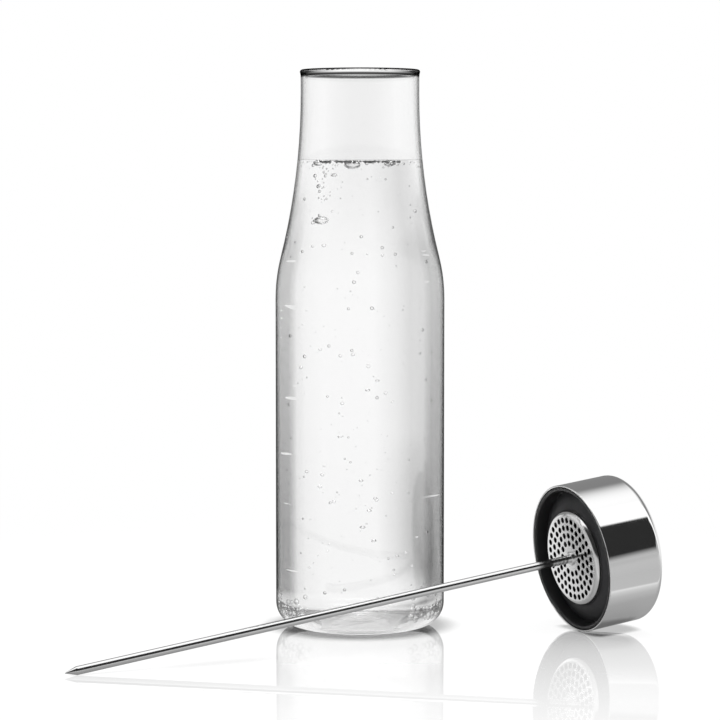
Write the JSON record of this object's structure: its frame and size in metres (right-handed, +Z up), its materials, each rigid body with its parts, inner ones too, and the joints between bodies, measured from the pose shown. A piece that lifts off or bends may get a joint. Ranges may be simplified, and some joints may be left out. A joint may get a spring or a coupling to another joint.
{
  "type": "fruit infuser pitcher",
  "caption": "Slender glass carafe with its pouring lid laid beside it: steel sleeve, perforated strainer, long fruit skewer and a gravity flap on a hinge.",
  "frame": {"origin": "centre of the carafe's base, on the surface it stands on", "axes": "+Z up along the carafe's axis; the laid-down lid's skewer points along -X in front of the carafe, towards -Y"},
  "size_m": [0.2961, 0.1428, 0.2735],
  "materials": {
    "clear_glass": "clear, fire-polished",
    "polished_steel": "mirror-polished stainless steel",
    "black_plastic": "satin moulded",
    "black_silicone": "matte silicone"
  },
  "bodies": {
    "carafe": {"carafe_glass": "clear_glass"},
    "lid": {"lid_sleeve": "polished_steel", "lid_liner": "black_plastic", "cone_seal": "black_silicone", "strainer": "polished_steel", "strainer_gasket": "black_silicone", "skewer": "polished_steel", "skewer_nut": "polished_steel", "strainer_clamp": "black_plastic", "pour_insert": "black_plastic", "hinge_pin": "polished_steel"},
    "flap": {"flap_carrier": "black_plastic", "flap_cover": "polished_steel", "flap_seal": "black_silicone"}
  },
  "joints": [
    {"name": "lid_lift", "type": "slide", "parent": "carafe", "child": "lid", "axis": [0, 0, 1], "range_m": [0, 0.3]},
    {"name": "flap_hinge", "type": "hinge", "parent": "lid", "child": "flap", "pos_m": [0.10784, -0.0651, 0.06239], "axis": [0, -1, 0], "range_deg": [0, 80]}
  ]
}
